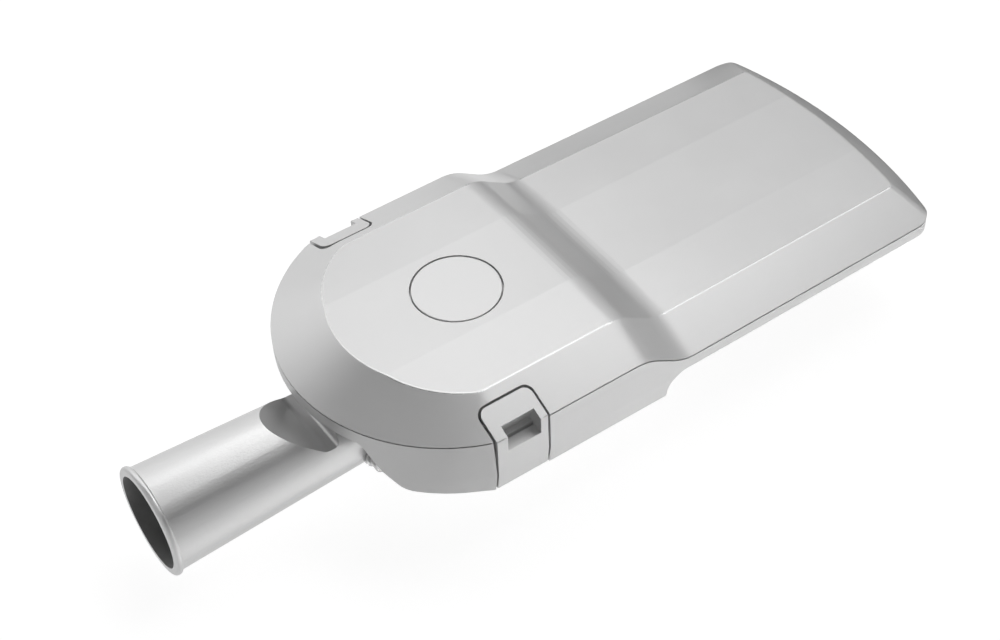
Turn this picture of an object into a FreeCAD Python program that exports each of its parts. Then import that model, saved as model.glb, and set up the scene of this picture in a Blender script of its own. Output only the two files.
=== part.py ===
import FreeCAD, Part
import math
import os
from FreeCAD import Vector

os.makedirs("parts", exist_ok=True)

# Street light head, millimetres.
# The origin is the centre of the spigot mouth. +X runs from the mouth along the head to its LED tip,
# +Z is up, and the two sides mirror each other about Y = 0.

# Spigot: takes the round end of a pole or bracket arm
bore_radius = 30.4
bore_length = 45.0
spigot_wall = 3.7
mouth_radius = bore_radius + spigot_wall
rim_radius = mouth_radius + 1.7
rim_length = 4.4
rim_round = 1.9
core_radius = bore_radius - 4.4
core_end_x = 74.0
tube_end_x = 133.0
tube_end_radius = 28.9
end_core_x = tube_end_x - 11.0
scallop_start_x = 82.7
scallop_start_z = 30.8
scallop_ramp_deg = 34.6
scallop_floor_z = 12.9
scallop_floor_radius = 9.0
scallop_end_x = tube_end_x - 12.5
set_screw_radius = 4.0
set_screw_length = 9.0
set_screw_x = [12.0, 34.0]
set_boss_radius = 7.5
set_boss_z = -(mouth_radius + 4.4)

# Tilt pivot between the spigot and the head
pivot_x = tube_end_x + 7.0
pivot_z = -8.0
pivot_bolt_radius = 5.0
pivot_clearance = 0.08
lug_half_width = 13.5
lug_radius = 12.0
lug_side_gap = 0.3
cheek_outer_y = tube_end_radius + 0.1
cheek_boss_radius = 9.0
cheek_step_y = 21.0
bolt_head_radius = 7.0
bolt_head_height = 8.0
washer_gap = 0.2
washer_thickness = 1.8
washer_radius = 8.6
bolt_reach_y = 3.0

# Plan outline of the head
half_width = 105.4
nose_swell = 5.7
nose_tip_x = pivot_x - 33.5
nose_radius = half_width + nose_swell
nose_centre_x = nose_tip_x + nose_radius
nose_corner_radius = 45.0
gear_length = 181.5
step_run = 27.7
led_length = 222.2
step_start_x = nose_tip_x + gear_length
step_end_x = step_start_x + step_run
taper_start_x = step_end_x + 10.3
tip_x = step_end_x + led_length
side_taper = 2.3
tip_half_width = half_width - side_taper
tip_radius = 350.0
tip_corner_radius = 17.0

# Heights: the parting line, the drop between the gear part and the LED part, the crown above it
floor_z = 2.0
gear_parting_z = floor_z + 43.6
step_drop = 17.4
step_radius = 30.0
parting_gap = 1.0
edge_land = 0.8
bevel_width = 28.5
ridge_y = half_width - bevel_width
ridge_height = 13.7
crown_y = 35.0
crown_height = 16.3
tip_bevel_run = 20.0
ridge_round = 4.0
tip_corner_round = 10.0

# Walls of the two castings
cover_wall = 3.0
frame_wall = 3.0
floor_wall = 2.6
skirt_fold_z = floor_z + 15.5
skirt_draft = 2.2
led_rim = 8.5
frame_underside_z = gear_parting_z - step_drop - led_rim
tray_end_x = step_start_x + 16.8
tray_end_radius = 14.2

# Pocket under the nose in which the spigot tilts
pocket_roof_z = gear_parting_z - 9.6
pocket_roof_y = 51.0
pocket_flare = 0.583
pocket_end_x = pivot_x + 20.0
pocket_roof_round = 5.0
pocket_foot_round = 8.0

# Side latches
latch_length = 37.2
latch_start_x = nose_tip_x + 71.7
latch_end_x = latch_start_x + latch_length
latch_top_y = half_width - 20.7
latch_gap = 1.5
latch_corner = 5.4
latch_plate = 3.0
latch_bay_y = half_width - 15.9
latch_bay_wall = 2.5
latch_pin_radius = 1.75
latch_pin_y = half_width - 6.8
latch_pin_seat = 1.8
latch_pin_z = floor_z + 5.0
latch_barrel_radius = 3.6
latch_foot_z = floor_z + 1.6
grip_start_x = latch_start_x + 8.1
grip_end_x = latch_end_x - 5.8
grip_top_y = half_width - 7.1
grip_foot_z = gear_parting_z - 11.0
grip_back_y = half_width - 12.6
grip_wall = 2.0
ledge_z = grip_foot_z + 2.6
ledge_y = half_width - 8.6
ledge_slot = 1.2
nose_start_x = latch_start_x + 11.8
nose_end_x = latch_end_x - 9.4

# Cover hinge at the tip: two curved tongues about one axis
hinge_x = tip_x + 0.2
tongue_inner_radius = 7.4
tongue_outer_radius = 9.2
tongue_clearance = 0.1
tongue_sweep_deg = 38.0
tongue_inner_y = 10.0
tongue_width = 14.0

# Seal round the gear compartment
seal_inset = 8.0
seal_width = 4.5
seal_height = 2.8
seal_shelf_z = gear_parting_z - seal_height
shelf_thickness = 3.0
seal_bay_margin = 3.2
seal_bay_y = half_width - 26.9
partition_x = step_start_x - 22.0

# Socket opening and its blanking cap on the crown
socket_x = nose_tip_x + 115.6
socket_groove_radius = 28.5
socket_groove = 1.0
socket_hole_radius = 19.0
socket_seat_depth = 4.0
cap_thickness = 2.6

# Optical chamber of the LED part
window_start_x = step_end_x + 22.3
window_end_x = tip_x - 37.9
window_half_width = half_width - 31.4
window_corner = 10.0
glass_lap = 5.0
glass_seal_thickness = 0.8
glass_thickness = 4.0
chamber_clearance = 1.5
chamber_wall = 2.5
chamber_top_z = frame_underside_z + 13.3
plate_thickness = 2.5
board_thickness = 1.6
board_edge = 14.0
led_size = 3.5
led_height = 0.7
led_rows = 4
led_columns = 8
led_pitch_x = (window_end_x - window_start_x - board_edge) / led_columns
led_pitch_y = (2 * window_half_width - 20.0) / led_rows
lens_radius = 6.0
lens_base = 2.0
lens_height = 1.6
lens_pocket = 5.0
plate_screw_radius = 2.0
plate_head_radius = 1.8 * plate_screw_radius
plate_head_height = 1.3 * plate_screw_radius
plate_screw_x = [window_start_x - 12.5, window_end_x + 12.5]
plate_screw_y = [20.0, window_half_width - 16.0]
boss_radius = 4.2

# Gear tray: plate, driver, terminals, surge protector and the cord gland in the pocket's wall
gear_boss_height = 4.0
gear_plate_z = floor_z + floor_wall + gear_boss_height
gear_plate_t = 1.5
gear_plate_x = (pocket_end_x + 8.0, partition_x - 4.0)
gear_plate_y = half_width - 33.4
gear_lip_height = 10.0
gear_boss_spots = [(gear_plate_x[0] + 6.0, gear_plate_y - 6.0), (gear_plate_x[1] - 6.0, gear_plate_y - 6.0)]
driver_x = (gear_plate_x[0] + 28.0, gear_plate_x[1] - 10.0)
driver_y = (-(gear_plate_y - 10.0), gear_plate_y - 26.0)
driver_height = 26.0
driver_tab_reach = 9.0
driver_tab_height = 2.5
terminal_x = gear_plate_x[0] + 4.0
terminal_depth = 18.0
terminal_height = 17.0
terminal_ways = 5
surge_length = 26.0
surge_gap = 6.0
surge_end_gap = 12.0
terminal_half = gear_plate_y - surge_end_gap - surge_length - surge_gap
surge_height = 24.0
gland_y = pocket_roof_y - 7.0
gland_z = floor_z + 20.0
gland_radius = 10.0
gland_bore_radius = 6.5
gland_cord_radius = 4.2
vent_x = partition_x - 26.0
vent_y = -(gear_plate_y + 12.0)
vent_radius = 5.0
vent_head_radius = 8.0
vent_head_height = 3.0
earth_x = terminal_x + 8.0
earth_y = terminal_half + 18.0


def box(x0, x1, y0, y1, z0, z1):
    return Part.makeBox(x1 - x0, y1 - y0, z1 - z0, Vector(x0, y0, z0))


def rod(centre, direction, radius, length):
    return Part.makeCylinder(radius, length, centre, direction)


def mirrored(shape):
    return shape.mirror(Vector(0, 0, 0), Vector(0, 1, 0))


def both_sides(shape):
    return [shape, mirrored(shape)]


def fused(shapes):
    result = shapes[0]
    if len(shapes) > 1:
        result = shapes[0].multiFuse(shapes[1:])
    return result.removeSplitter()


def shared(first, *others):
    for other in others:
        first = first.common(other)
    return first


def one_solid(shape):
    shape = shape.removeSplitter()
    solids = sorted(shape.Solids, key=lambda s: s.Volume)
    return solids[-1]


def middle_of(edge):
    return edge.valueAt((edge.FirstParameter + edge.LastParameter) / 2)


def line(a, b):
    return Part.LineSegment(a, b).toShape()


def arc(a, mid, b):
    return Part.Arc(a, mid, b).toShape()


def polygon_face(points):
    return Part.Face(Part.makePolygon(points + [points[0]]))


def slab_xz(points, y0, y1):
    face = polygon_face([Vector(x, y0, z) for x, z in points])
    return face.extrude(Vector(0, y1 - y0, 0))


def slab_yz(points, x0, x1):
    face = polygon_face([Vector(x0, y, z) for y, z in points])
    return face.extrude(Vector(x1 - x0, 0, 0))


def rounded_plan(x0, x1, y0, y1, radius, z0, z1):
    block = box(x0, x1, y0, y1, z0, z1)
    upright = [e for e in block.Edges if abs(e.Vertexes[0].X - e.Vertexes[1].X) < 1e-6
               and abs(e.Vertexes[0].Y - e.Vertexes[1].Y) < 1e-6]
    return block.makeFillet(radius, upright)


# The nose: a round front blended into the straight sides
def nose_outline(inset, z, back_x):
    radius = nose_radius - inset
    corner = nose_corner_radius - inset
    half = half_width - inset
    corner_y = half_width - nose_corner_radius
    reach = nose_radius - nose_corner_radius
    corner_x = nose_centre_x - math.sqrt(reach ** 2 - corner_y ** 2)
    turn = math.atan2(corner_y, nose_centre_x - corner_x)
    meet = Vector(nose_centre_x - radius * math.cos(turn), radius * math.sin(turn), z)
    half_turn = (math.pi / 2 + turn) / 2
    corner_mid = Vector(corner_x - corner * math.cos(half_turn), corner_y + corner * math.sin(half_turn), z)
    side_start = Vector(corner_x, half, z)

    def flip(v):
        return Vector(v.x, -v.y, v.z)

    tip = Vector(nose_centre_x - radius, 0, z)
    back = Vector(back_x, half, z)
    edges = [
        line(back, side_start),
        arc(side_start, corner_mid, meet),
        arc(meet, tip, flip(meet)),
        arc(flip(meet), flip(corner_mid), flip(side_start)),
        line(flip(side_start), flip(back)),
        line(flip(back), back),
    ]
    return Part.Wire(edges)


def nose_prism(inset, z0, z1, back_x):
    return Part.Face(nose_outline(inset, z0, back_x)).extrude(Vector(0, 0, z1 - z0))


# Whole plan of the head as an upright block, drawn in by an inset
def plan_block(inset, z0, z1):
    nose = nose_prism(inset, z0, z1, taper_start_x)
    slope = (half_width - tip_half_width) / (tip_x - taper_start_x)
    far_x = tip_x + 20
    far_y = half_width - slope * (far_x - taper_start_x) - inset
    near_y = half_width - inset
    corners = [(taper_start_x, -near_y), (far_x, -far_y), (far_x, far_y), (taper_start_x, near_y)]
    wedge = polygon_face([Vector(x, y, z0) for x, y in corners]).extrude(Vector(0, 0, z1 - z0))
    disc = rod(Vector(tip_x - tip_radius, 0, z0), Vector(0, 0, 1), tip_radius - inset, z1 - z0)
    led = wedge.common(disc)
    upright = [e for e in led.Edges if e.BoundBox.XLength < 1e-4 and e.BoundBox.YLength < 1e-4
               and e.BoundBox.XMin > taper_start_x + 20]
    led = led.makeFillet(max(tip_corner_radius - inset, 2.0), upright)
    return nose.fuse(led).removeSplitter()


# The S-shaped drop in side view, lifted by a height
def step_edges(lift, x0, x1, y):
    high = gear_parting_z + lift
    low = high - step_drop
    lean = math.atan2(step_drop, step_end_x - step_start_x)
    tangent = step_radius * math.tan(lean / 2)
    p1 = Vector(step_start_x - tangent, y, high)
    m1 = Vector(p1.x + step_radius * math.sin(lean / 2), y, high - step_radius * (1 - math.cos(lean / 2)))
    p2 = Vector(step_start_x + tangent * math.cos(lean), y, high - tangent * math.sin(lean))
    p3 = Vector(step_end_x - tangent * math.cos(lean), y, low + tangent * math.sin(lean))
    p4 = Vector(step_end_x + tangent, y, low)
    m2 = Vector(p4.x - step_radius * math.sin(lean / 2), y, low + step_radius * (1 - math.cos(lean / 2)))
    start = Vector(x0, y, high)
    end = Vector(x1, y, low)
    return [line(start, p1), arc(p1, m1, p2), line(p2, p3), arc(p3, m2, p4), line(p4, end)]


# Everything under the step line, swept across the width; fall drops it per millimetre of Y
def under_step(lift, x0, x1, y0, y1, z0, fall=0.0, fall_from=0.0):
    rise = fall * (fall_from - y0)
    edges = step_edges(lift + rise, x0, x1, y0)
    start = edges[0].Vertexes[0].Point
    end = edges[-1].Vertexes[1].Point
    low_start = Vector(x0, y0, z0 - 60)
    low_end = Vector(x1, y0, z0 - 60)
    wire = Part.Wire(edges + [line(end, low_end), line(low_end, low_start), line(low_start, start)])
    swept = Part.Face(wire).extrude(Vector(0, y1 - y0, -fall * (y1 - y0)))
    return swept.common(box(x0, x1, y0, y1, z0, 120))


# Outside mass of the top cover, from a low plane up to its bevels and facets
def cover_mass(z0):
    x0 = nose_centre_x - nose_radius - 10
    x1 = tip_x + 10
    y = half_width + 10
    split_x = nose_centre_x - 15
    bevel_slope = (ridge_height - edge_land) / (half_width - ridge_y)
    facet_fall = (crown_height - ridge_height) / (ridge_y - crown_y)
    crown = under_step(crown_height, x0, x1, -y, y, z0)
    facets = under_step(crown_height, x0, x1, -y, y, z0, facet_fall, crown_y)
    top = shared(crown, facets, mirrored(facets))
    bevels = under_step(edge_land, split_x, x1, -y, y, z0, bevel_slope, half_width)
    body = shared(top, bevels, mirrored(bevels), plan_block(0.0, z0, 120))
    base_z = gear_parting_z + edge_land
    rise = crown_height - edge_land + 1.0
    run = rise / bevel_slope
    cone = Part.makeLoft([nose_outline(0.0, base_z, split_x).copy(),
                          nose_outline(run, base_z + rise, split_x).copy()], True, True)
    nose = fused([nose_prism(0.0, z0, base_z, split_x), cone]).common(top)
    low_z = gear_parting_z - step_drop + edge_land
    tip_rise = crown_height - edge_land
    centre_x = tip_x - tip_radius
    slope = math.atan2(half_width - tip_half_width, tip_x - taper_start_x)
    for side in (1, -1):
        start = Vector(taper_start_x, side * half_width, low_z)
        along = Vector(math.cos(slope), -side * math.sin(slope), 0)
        away = Vector(0, side, 0)
        reach = 60.0
        a = start - along * 40
        b = start + along * 260
        inner = away * (-reach) + Vector(0, 0, reach * bevel_slope)
        outer = away * reach + Vector(0, 0, -reach * bevel_slope)
        up = Vector(0, 0, 100)
        wedge = polygon_face([a + inner, a + outer, a + outer + up, a + inner + up]).extrude(b - a)
        wedge = wedge.common(box(taper_start_x, x1 + 50, -200, 200, -100, 300))
        body = body.cut(wedge)
    tall = 4
    outer_cone = Part.makeCone(tip_radius, tip_radius - tall * tip_bevel_run, tall * tip_rise,
                               Vector(centre_x, 0, low_z), Vector(0, 0, 1))
    below = rod(Vector(centre_x, 0, z0 - 1), Vector(0, 0, 1), tip_radius, low_z - z0 + 1)
    body = body.common(fused([outer_cone, below]))
    corners = [e for e in body.Edges if middle_of(e).x > tip_x - tip_corner_radius - 8
               and abs(middle_of(e).y) > ridge_y + 4 and middle_of(e).z > low_z + 3
               and e.BoundBox.YLength > 10]
    body = body.makeFillet(tip_corner_round, corners)
    return fused([nose, body])


# The fold between bevel and top, rounded where the part shows a soft highlight
def round_ridges(mass):
    picked = []
    for edge in mass.Edges:
        middle = middle_of(edge)
        span = edge.BoundBox
        lift = middle.z - step_height(middle.x)
        side = abs(middle.y) > ridge_y - 4 and span.YLength < 4 and span.XLength > 2 and lift > ridge_height - 2.5
        front = middle.x < nose_centre_x - 15 and lift > ridge_height - 0.5 and span.XLength > 2
        front = front and span.YLength > 4
        tip = middle.x > tip_x - tip_bevel_run - 12 and lift > ridge_height - 0.5 and span.YLength > 2
        if side or front or tip:
            picked.append(edge)
    return mass.makeFillet(ridge_round, picked)


def step_height(x):
    if x <= step_start_x:
        return gear_parting_z
    if x >= step_end_x:
        return gear_parting_z - step_drop
    return gear_parting_z - step_drop * (x - step_start_x) / (step_end_x - step_start_x)


def arc_between(centre, radius, start_deg, end_deg, y):
    def at(angle):
        a = math.radians(angle)
        return Vector(centre[0] + radius * math.cos(a), y, centre[1] + radius * math.sin(a))
    return arc(at(start_deg), at((start_deg + end_deg) / 2), at(end_deg))


# A closed face whose corners are rounded by the radii given, 0 for sharp
def rounded_face(points, radii):
    edges = []
    count = len(points)
    entries = []
    exits = []
    arcs = []
    for i in range(count):
        here = points[i]
        radius = radii[i]
        if radius == 0:
            entries.append(here)
            exits.append(here)
            arcs.append(None)
            continue
        back = (points[i - 1] - here).normalize()
        on = (points[(i + 1) % count] - here).normalize()
        half = back.getAngle(on) / 2
        reach = radius / math.tan(half)
        inward = (back + on).normalize()
        centre = here + inward * (radius / math.sin(half))
        entry = here + back * reach
        leave = here + on * reach
        entries.append(entry)
        exits.append(leave)
        arcs.append(arc(entry, centre - inward * radius, leave))
    for i in range(count):
        if arcs[i] is not None:
            edges.append(arcs[i])
        edges.append(line(exits[i], entries[(i + 1) % count]))
    return Part.Face(Part.Wire(edges))


def prism_xz(points, radii, y0, y1):
    face = rounded_face([Vector(x, y0, z) for x, z in points], radii)
    return face.extrude(Vector(0, y1 - y0, 0))


def prism_yz(points, radii, x0, x1):
    face = rounded_face([Vector(x0, y, z) for y, z in points], radii)
    return face.extrude(Vector(x1 - x0, 0, 0))


def along_x(x, y, z, radius, length):
    return rod(Vector(x, y, z), Vector(1, 0, 0), radius, length)


def along_y(x, y, z, radius, length):
    return rod(Vector(x, y, z), Vector(0, 1, 0), radius, length)


def along_z(x, y, z, radius, length):
    return rod(Vector(x, y, z), Vector(0, 0, 1), radius, length)


def hexagon(centre, across, length, direction):
    points = []
    reach = across / math.sqrt(3)
    for i in range(6):
        turn = math.radians(60 * i)
        a = reach * math.cos(turn)
        b = reach * math.sin(turn)
        if abs(direction.x) > 0.5:
            points.append(centre + Vector(0, a, b))
        elif abs(direction.y) > 0.5:
            points.append(centre + Vector(a, 0, b))
        else:
            points.append(centre + Vector(a, b, 0))
    return polygon_face(points).extrude(direction * length)


# Screw with a round socket head; the head stands on the seat and the shank goes down from it
def screw_down(x, y, seat_z, radius, length, head_radius, head_height):
    head = along_z(x, y, seat_z, head_radius, head_height)
    socket = hexagon(Vector(x, y, seat_z + head_height * 0.4), radius * 1.4, head_height, Vector(0, 0, 1))
    return along_z(x, y, seat_z - length, radius, length).fuse(head).cut(socket).removeSplitter()


# Spigot: a tapering tube with a beaded mouth, a scalloped top and two cheeks at its pivot
def spigot():
    rim = along_x(0, 0, 0, rim_radius, rim_length)
    rim = rim.makeFillet(rim_round, [e for e in rim.Edges if type(e.Curve).__name__ == "Circle"])
    tube = Part.makeCone(mouth_radius, tube_end_radius, tube_end_x - rim_round, Vector(rim_round, 0, 0),
                         Vector(1, 0, 0))
    boss_top = -bore_radius
    bosses = [along_z(x, 0, set_boss_z, set_boss_radius, boss_top - set_boss_z) for x in set_screw_x]
    web = box(set_screw_x[0], set_screw_x[-1], -set_boss_radius * 0.5, set_boss_radius * 0.5,
              set_boss_z + 2.0, boss_top)
    body = fused([rim, tube, web] + bosses)
    slope = math.tan(math.radians(scallop_ramp_deg))
    ramp_foot_x = scallop_start_x + (scallop_start_z - scallop_floor_z) / slope
    lead_x = scallop_start_x - 16.0
    high_z = 60.0
    scallop = prism_xz(
        [(lead_x, scallop_start_z + 16.0 * slope), (ramp_foot_x, scallop_floor_z),
         (scallop_end_x - 3.0, scallop_floor_z), (scallop_end_x, high_z), (lead_x, high_z)],
        [0, scallop_floor_radius, 3.0, 0, 0], -50, 50)
    body = body.cut(scallop)
    cheeks = []
    inner_y = lug_half_width + lug_side_gap
    eye = along_y(pivot_x, inner_y, pivot_z, lug_radius, cheek_step_y - inner_y)
    arm = box(end_core_x, pivot_x, inner_y, cheek_step_y, pivot_z - lug_radius, pivot_z + lug_radius)
    boss = along_y(pivot_x, cheek_step_y, pivot_z, cheek_boss_radius, cheek_outer_y - cheek_step_y)
    hole = along_y(pivot_x, inner_y - 1, pivot_z, pivot_bolt_radius + pivot_clearance, 40)
    for part in (eye, arm, boss):
        cheeks += both_sides(part)
    body = fused([body] + cheeks)
    core = fused([along_x(-1, 0, 0, bore_radius, bore_length + 1), along_x(0, 0, 0, core_radius, core_end_x)])
    wall = 3.0
    end_core = Part.makeCone(core_radius, tube_end_radius - wall, end_core_x - core_end_x + 2,
                             Vector(core_end_x - 2, 0, 0), Vector(1, 0, 0))
    end_core = end_core.common(box(0, end_core_x, -50, 50, -50, scallop_floor_z - wall))
    lug_bay = along_y(pivot_x, -inner_y, pivot_z, lug_radius + 1.2, 2 * inner_y)
    cable_way = box(end_core_x - 1, tube_end_x + 1, inner_y + 0.7, inner_y + 10.0, pivot_z + 10.0,
                    scallop_floor_z - wall)
    body = body.cut(fused([core, end_core]))
    body = body.cut(lug_bay).cut(cable_way)
    for cut in both_sides(hole):
        body = body.cut(cut)
    for x in set_screw_x:
        body = body.cut(along_z(x, 0, set_boss_z - 1, set_screw_radius, 12))
    return one_solid(body)


def spigot_set_screws():
    tip_z = -bore_radius - 0.3
    screws = []
    for x in set_screw_x:
        screw = along_z(x, 0, tip_z - set_screw_length, set_screw_radius, set_screw_length)
        socket = hexagon(Vector(x, 0, tip_z - set_screw_length), set_screw_radius, 4.0, Vector(0, 0, 1))
        screws.append(screw.cut(socket))
    return screws


def pivot_bolts():
    seat = cheek_outer_y + washer_gap + washer_thickness
    bolt = along_y(pivot_x, bolt_reach_y, pivot_z, pivot_bolt_radius, seat - bolt_reach_y)
    head = along_y(pivot_x, seat, pivot_z, bolt_head_radius, bolt_head_height)
    rim = [e for e in head.Edges if e.BoundBox.YMin > seat + 1 and type(e.Curve).__name__ == "Circle"]
    head = head.makeFillet(0.8, rim)
    socket = hexagon(Vector(pivot_x, seat + bolt_head_height * 0.5, pivot_z), 7.0, bolt_head_height,
                     Vector(0, 1, 0))
    return both_sides(bolt.fuse(head).cut(socket).removeSplitter())


def pivot_washers():
    start = cheek_outer_y + washer_gap
    ring = along_y(pivot_x, start, pivot_z, washer_radius, washer_thickness)
    hole = along_y(pivot_x, start - 1, pivot_z, pivot_bolt_radius + 0.25, washer_thickness + 2)
    return both_sides(ring.cut(hole))


# Air below the castings in side view: under the tray, up its end wall and under the LED part
def under_air(offset):
    x0 = nose_centre_x - nose_radius - 20
    x1 = tip_x + 20
    radius = tray_end_radius + offset
    wall_x = tray_end_x - offset
    centre = (tray_end_x + tray_end_radius, frame_underside_z - tray_end_radius)
    floor = floor_z + offset
    top = frame_underside_z + offset
    y = -half_width - 20
    low = -60.0
    spots = [Vector(x0, y, low), Vector(x0, y, floor), Vector(wall_x, y, floor)]
    edges = [line(spots[0], spots[1]), line(spots[1], spots[2])]
    edges.append(line(spots[2], Vector(wall_x, y, centre[1])))
    edges.append(arc_between(centre, radius, 180, 90, y))
    edges.append(line(Vector(centre[0], y, top), Vector(x1, y, top)))
    edges.append(line(Vector(x1, y, top), Vector(x1, y, low)))
    edges.append(line(Vector(x1, y, low), spots[0]))
    return Part.Face(Part.Wire(edges)).extrude(Vector(0, -2 * y, 0))


# Plan of the lower casting with its skirt drawn in below the fold
def skirted_block(inset, z1):
    back_x = tray_end_x + tray_end_radius
    skirt = Part.makeLoft([nose_outline(inset + skirt_draft, floor_z, back_x),
                           nose_outline(inset, skirt_fold_z, back_x)], True, True)
    return fused([skirt, plan_block(inset, skirt_fold_z, z1)])


# Plan of the seal: the nose outline with a step in past each latch
def seal_face(draw_in, z):
    face = Part.Face(nose_outline(seal_inset, z, partition_x + 3.5))
    x0 = latch_start_x - latch_gap / 2 - latch_bay_wall - seal_bay_margin
    x1 = latch_end_x + latch_gap / 2 + latch_bay_wall + seal_bay_margin
    bay = polygon_face([Vector(x0, seal_bay_y, z), Vector(x1, seal_bay_y, z), Vector(x1, 150, z),
                        Vector(x0, 150, z)])
    for shape in both_sides(bay):
        face = face.cut(shape)
    face = face.Faces[0]
    if draw_in > 0:
        face = face.makeOffset2D(-draw_in).Faces[0]
    return face


def seal_band(draw_in, width, z0, z1):
    outer = seal_face(draw_in, z0).extrude(Vector(0, 0, z1 - z0))
    inner = seal_face(draw_in + width, z0).extrude(Vector(0, 0, z1 - z0))
    return outer.cut(inner)


def cover_seal():
    return seal_band(0.0, seal_width, seal_shelf_z, gear_parting_z + parting_gap / 2 - 0.1)


# The pocket's section across the head, grown by a wall
def pocket_section(wall, x0, x1):
    roof_z = pocket_roof_z + wall
    lean = math.sqrt(1 + pocket_flare ** 2)
    roof_y = pocket_roof_y + wall * (lean - pocket_flare)
    foot_y = roof_y + pocket_flare * (roof_z - floor_z)
    low = floor_z - 40
    if wall > 0:
        points = [(-foot_y, floor_z), (-roof_y, roof_z), (roof_y, roof_z), (foot_y, floor_z)]
        return prism_yz(points, [0, pocket_roof_round + wall, pocket_roof_round + wall, 0], x0, x1)
    wide = foot_y + 12.0
    points = [(-wide, low), (-wide, floor_z), (-foot_y, floor_z), (-roof_y, roof_z),
              (roof_y, roof_z), (foot_y, floor_z), (wide, floor_z), (wide, low)]
    radii = [0, 0, pocket_foot_round, pocket_roof_round, pocket_roof_round, pocket_foot_round, 0, 0]
    return prism_yz(points, radii, x0, x1)


def latch_bay_x(wall):
    return (latch_start_x - latch_gap / 2 - wall, latch_end_x + latch_gap / 2 + wall)


def chamber(grow, z0, z1):
    return rounded_plan(window_start_x - grow, window_end_x + grow, -window_half_width - grow,
                        window_half_width + grow, window_corner + grow * 0.3, z0, z1)


# Lower casting: gear tray, spigot pocket, latch bays, seal shelf and the frame of the optical chamber
def lower_frame():
    x0 = nose_centre_x - nose_radius - 10
    x1 = tip_x + 10
    y = half_width + 10
    rim = under_step(-parting_gap / 2, x0, x1, -y, y, floor_z)
    outer = shared(skirted_block(0.0, 60.0), rim).cut(under_air(0.0))
    inner = skirted_block(frame_wall, 70.0).cut(under_air(floor_wall))
    pieces = [outer.cut(inner)]
    shelf = nose_prism(frame_wall - 0.6, seal_shelf_z - shelf_thickness, seal_shelf_z, partition_x + 4.0)
    opening = seal_face(seal_width, 0.0).extrude(Vector(0, 0, 80))
    pieces.append(shelf.cut(opening))
    lining = skirted_block(frame_wall - 0.6, 70.0)
    partition = box(partition_x, partition_x + frame_wall, -y, y, floor_z + 1, seal_shelf_z)
    pieces.append(partition.common(lining))
    pieces.append(pocket_section(frame_wall, x0, pocket_end_x + frame_wall).common(outer))
    bay_x = latch_bay_x(latch_bay_wall)
    bay = box(bay_x[0], bay_x[1], latch_bay_y - latch_bay_wall, y, floor_z, 70).common(outer)
    pieces += both_sides(bay)
    upstand = chamber(glass_lap + chamber_clearance + chamber_wall, frame_underside_z + 1, chamber_top_z)
    upstand = upstand.cut(chamber(glass_lap + chamber_clearance, 0, 80))
    pieces.append(upstand)
    for x in plate_screw_x:
        for py in plate_screw_y:
            pieces += both_sides(along_z(x, py, frame_underside_z + 1, boss_radius,
                                         chamber_top_z - frame_underside_z - 1))
    for x, py in gear_boss_spots:
        pieces += both_sides(along_z(x, py, floor_z + 1, boss_radius,
                                     floor_wall + gear_boss_height - 1))
    reach_y = tongue_inner_y + tongue_width + 2
    hinge_z = gear_parting_z - step_drop
    keeper_radius = tongue_inner_radius - tongue_clearance
    bar = box(hinge_x - 20, hinge_x - 2.0, -reach_y, reach_y, hinge_z - 2.9, hinge_z - parting_gap / 2)
    bar = bar.common(along_y(hinge_x, -reach_y, hinge_z, keeper_radius, 2 * reach_y))
    pieces.append(bar.common(outer))
    body = fused(pieces)
    body = body.cut(pocket_section(0.0, x0 - 20, pocket_end_x))
    lug = along_y(pivot_x, -lug_half_width, pivot_z, lug_radius, 2 * lug_half_width)
    arm = slab_xz([(pivot_x + 5, pocket_roof_z + 1), (pocket_end_x + 1, pocket_roof_z + 1),
                   (pocket_end_x + 1, floor_z + 4), (pivot_x + 8.5, pivot_z - 8.4),
                   (pivot_x + 5, pivot_z)], -lug_half_width, lug_half_width)
    body = fused([body, lug, arm])
    cut_x = latch_bay_x(0.0)
    bay_cut = box(cut_x[0], cut_x[1], latch_bay_y, y + 20, -20, 80)
    cuts = both_sides(bay_cut)
    cuts.append(chamber(0.0, 0, frame_underside_z + floor_wall + 1))
    cuts.append(along_y(pivot_x, -60, pivot_z, pivot_bolt_radius, 120))
    cuts.append(along_x(pocket_end_x - 5, gland_y, gland_z, gland_radius, frame_wall + 10))
    cuts.append(along_z(vent_x, vent_y, floor_z - 1, vent_radius, floor_wall + 2))
    for x in plate_screw_x:
        for py in plate_screw_y:
            cuts += both_sides(along_z(x, py, frame_underside_z + 4, plate_screw_radius + 0.03, 30))
    for x, py in gear_boss_spots:
        cuts += both_sides(along_z(x, py, floor_z + floor_wall, plate_screw_radius + 0.03, 30))
    pin_x = latch_bay_x(latch_pin_seat)
    cuts += both_sides(along_x(pin_x[0], latch_pin_y, latch_pin_z, latch_pin_radius, pin_x[1] - pin_x[0]))
    for cut in cuts:
        body = body.cut(cut)
    return one_solid(body)


# Curved hinge tongue about the axis at the tip, with the web that carries it
def hinge_tongue():
    centre = (hinge_x, gear_parting_z - step_drop)
    y0 = tongue_inner_y
    end = 180 + tongue_sweep_deg
    outer = arc_between(centre, tongue_outer_radius, 180, end, y0)
    inner = arc_between(centre, tongue_inner_radius, end, 180, y0)
    wire = Part.Wire([outer, line(outer.Vertexes[-1].Point, inner.Vertexes[0].Point), inner,
                      line(inner.Vertexes[-1].Point, outer.Vertexes[0].Point)])
    sector = Part.Face(wire).extrude(Vector(0, tongue_width, 0))
    web = box(hinge_x - tongue_outer_radius, hinge_x - tongue_inner_radius, y0, y0 + tongue_width,
              centre[1], centre[1] + 9.0)
    return sector, web


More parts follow.
